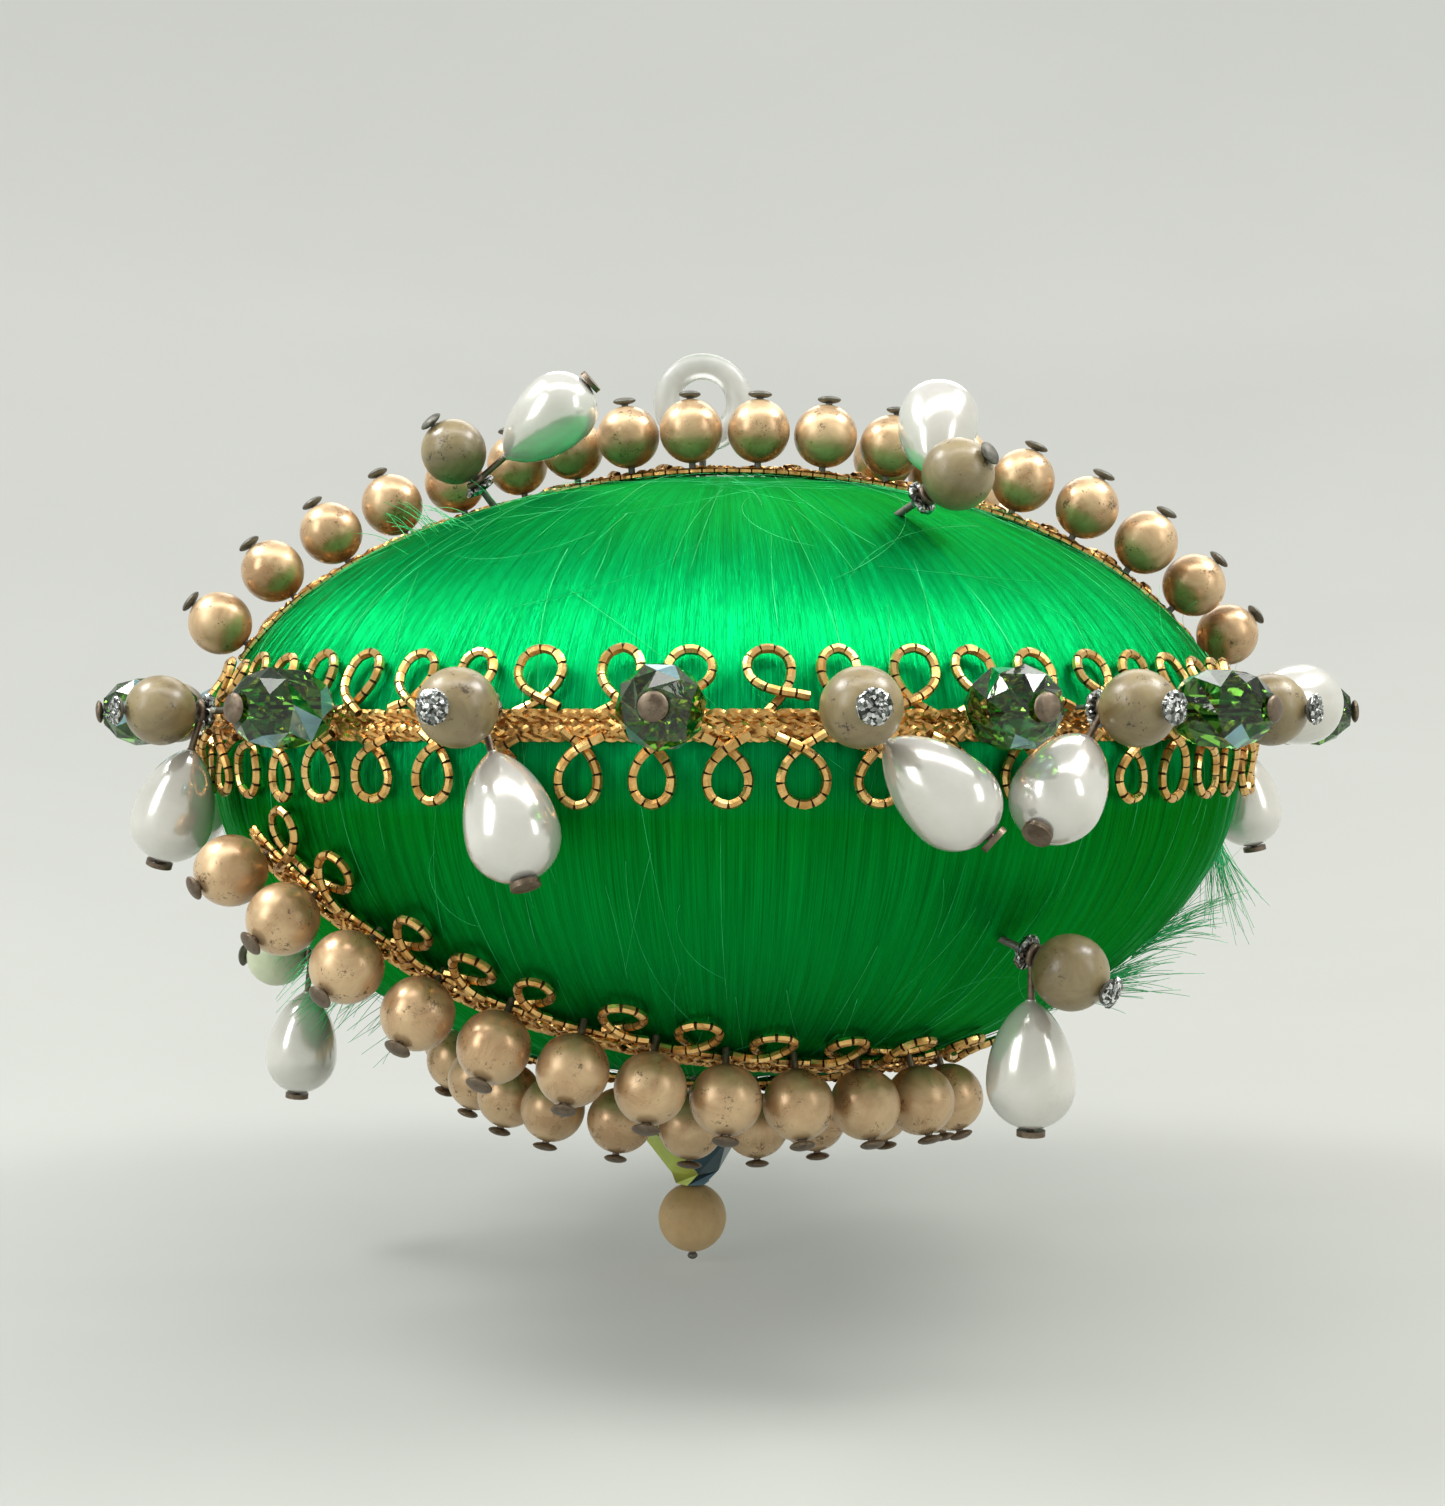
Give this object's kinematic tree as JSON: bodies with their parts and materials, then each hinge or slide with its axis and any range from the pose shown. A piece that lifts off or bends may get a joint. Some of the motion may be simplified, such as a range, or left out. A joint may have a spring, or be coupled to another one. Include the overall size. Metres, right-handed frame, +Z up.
{
  "type": "christmas ornament",
  "caption": "Pin-and-bead Christmas ornament: green satin-thread ball with gold braid, pinned beads, hanging teardrop pearls, a finial and a hanging ring.",
  "frame": {"origin": "centre of the hanging ring's hole", "axes": "+Z up along the ball's axis towards the hanging hook, -Y towards the front, +X to the right seen from the front"},
  "size_m": [0.0907, 0.0912, 0.0687],
  "materials": {
    "foam": "matte",
    "satin_thread": "silky sheen along the thread",
    "gold_braid": "bright metallic thread",
    "gold_cord": "bright metallic thread",
    "champagne_pearl": "satin pearl",
    "tan_bead": "satin",
    "olive_bead": "frosted and speckled",
    "green_crystal": "faceted and coated",
    "dark_crystal": "faceted and coated",
    "white_pearl": "gloss pearl",
    "silver_glitter": "glittered",
    "frosted_ring": "frosted and translucent",
    "gunmetal": "dull with tarnish"
  },
  "bodies": {
    "hanger": {"hanging_ring": "frosted_ring"},
    "ornament": {"foam_core": "foam", "satin_wrap": "satin_thread", "band_braid": "gold_braid", "band_picots": "gold_cord", "top_garland_braid": "gold_braid", "top_garland_picots": "gold_cord", "top_garland_pearls": "champagne_pearl", "top_garland_pins": "gunmetal", "bottom_garland_braid": "gold_braid", "bottom_garland_picots": "gold_cord", "bottom_garland_pearls": "champagne_pearl", "bottom_garland_pins": "gunmetal", "band_crystals": "green_crystal", "band_crystal_pins": "gunmetal", "band_beads": "olive_bead", "band_bead_pins": "gunmetal", "shoulder_beads": "olive_bead", "shoulder_pins": "gunmetal", "glitter_rings": "silver_glitter", "glitter_caps": "silver_glitter", "ring_staple": "gunmetal", "finial_crystal": "dark_crystal", "finial_bead": "tan_bead", "finial_pin": "gunmetal"},
    "drop_01": {"drop_pearl_01": "white_pearl", "drop_wire_01": "gunmetal"},
    "drop_02": {"drop_pearl_02": "white_pearl", "drop_wire_02": "gunmetal"},
    "drop_03": {"drop_pearl_03": "white_pearl", "drop_wire_03": "gunmetal"},
    "drop_04": {"drop_pearl_04": "white_pearl", "drop_wire_04": "gunmetal"},
    "drop_05": {"drop_pearl_05": "white_pearl", "drop_wire_05": "gunmetal"},
    "drop_06": {"drop_pearl_06": "white_pearl", "drop_wire_06": "gunmetal"},
    "drop_07": {"drop_pearl_07": "white_pearl", "drop_wire_07": "gunmetal"},
    "drop_08": {"drop_pearl_08": "white_pearl", "drop_wire_08": "gunmetal"},
    "drop_09": {"drop_pearl_09": "white_pearl", "drop_wire_09": "gunmetal"},
    "drop_10": {"drop_pearl_10": "white_pearl", "drop_wire_10": "gunmetal"},
    "drop_11": {"drop_pearl_11": "white_pearl", "drop_wire_11": "gunmetal"},
    "drop_12": {"drop_pearl_12": "white_pearl", "drop_wire_12": "gunmetal"},
    "drop_13": {"drop_pearl_13": "white_pearl", "drop_wire_13": "gunmetal"},
    "drop_14": {"drop_pearl_14": "white_pearl", "drop_wire_14": "gunmetal"},
    "drop_15": {"drop_pearl_15": "white_pearl", "drop_wire_15": "gunmetal"},
    "drop_16": {"drop_pearl_16": "white_pearl", "drop_wire_16": "gunmetal"}
  },
  "joints": [
    {"name": "hanger_swing", "type": "hinge", "parent": "hanger", "child": "ornament", "pos_m": [0, 0, -0.00275], "axis": [1, 0, 0], "range_deg": [-45, 100]},
    {"name": "drop_01_swing", "type": "hinge", "parent": "ornament", "child": "drop_01", "pos_m": [-0.03332, -0.01867, -0.0235], "axis": [-0.8829, -0.4695, 0], "range_deg": [-48, 16]},
    {"name": "drop_02_swing", "type": "hinge", "parent": "ornament", "child": "drop_02", "pos_m": [-0.01245, -0.03713, -0.0235], "axis": [-0.3584, -0.9336, 0], "range_deg": [-100, 40]},
    {"name": "drop_03_swing", "type": "hinge", "parent": "ornament", "child": "drop_03", "pos_m": [0.00871, -0.03917, -0.0235], "axis": [0.1736, -0.9848, 0], "range_deg": [-104, 4]},
    {"name": "drop_04_swing", "type": "hinge", "parent": "ornament", "child": "drop_04", "pos_m": [0.02433, -0.03278, -0.0235], "axis": [0.5664, -0.8241, 0], "range_deg": [0, 96]},
    {"name": "drop_05_swing", "type": "hinge", "parent": "ornament", "child": "drop_05", "pos_m": [0.03438, -0.02281, -0.0235], "axis": [0.8192, -0.5736, 0], "range_deg": [-132, 30]},
    {"name": "drop_06_swing", "type": "hinge", "parent": "ornament", "child": "drop_06", "pos_m": [0.04128, 0.00485, -0.0235], "axis": [0.9925, 0.1219, 0], "range_deg": [-100, 56]},
    {"name": "drop_07_swing", "type": "hinge", "parent": "ornament", "child": "drop_07", "pos_m": [0.0342, 0.02308, -0.0235], "axis": [0.8145, 0.5802, 0], "range_deg": [-60, 48]},
    {"name": "drop_08_swing", "type": "hinge", "parent": "ornament", "child": "drop_08", "pos_m": [0.01928, 0.03573, -0.0235], "axis": [0.4396, 0.8982, 0], "range_deg": [-48, 64]},
    {"name": "drop_09_swing", "type": "hinge", "parent": "ornament", "child": "drop_09", "pos_m": [0.00015, 0.03974, -0.0235], "axis": [-0.0416, 0.9991, 0], "range_deg": [-60, 52]},
    {"name": "drop_10_swing", "type": "hinge", "parent": "ornament", "child": "drop_10", "pos_m": [-0.01859, 0.03415, -0.0235], "axis": [-0.5127, 0.8585, 0], "range_deg": [-64, 44]},
    {"name": "drop_11_swing", "type": "hinge", "parent": "ornament", "child": "drop_11", "pos_m": [-0.0324, 0.0203, -0.0235], "axis": [-0.8599, 0.5104, 0], "range_deg": [-48, 60]},
    {"name": "drop_12_swing", "type": "hinge", "parent": "ornament", "child": "drop_12", "pos_m": [-0.03794, 0.00155, -0.0235], "axis": [-0.9992, 0.0389, 0], "range_deg": [-56, 56]},
    {"name": "drop_13_swing", "type": "hinge", "parent": "ornament", "child": "drop_13", "pos_m": [-0.01624, -0.00819, -0.00697], "axis": [-0.5567, -0.3214, 0.766], "range_deg": [-56, 24]},
    {"name": "drop_14_swing", "type": "hinge", "parent": "ornament", "child": "drop_14", "pos_m": [0.01476, -0.02268, -0.00959], "axis": [0.6735, -0.6064, 0.4226], "range_deg": [-28, 100]},
    {"name": "drop_15_swing", "type": "hinge", "parent": "ornament", "child": "drop_15", "pos_m": [0.02044, -0.03061, -0.03845], "axis": [0.7505, -0.5655, -0.342], "range_deg": [-85, 85]},
    {"name": "drop_16_swing", "type": "hinge", "parent": "ornament", "child": "drop_16", "pos_m": [-0.03053, 0.00283, -0.04242], "axis": [-0.9962, 0.0872, 0], "range_deg": [-88, 88]}
  ]
}
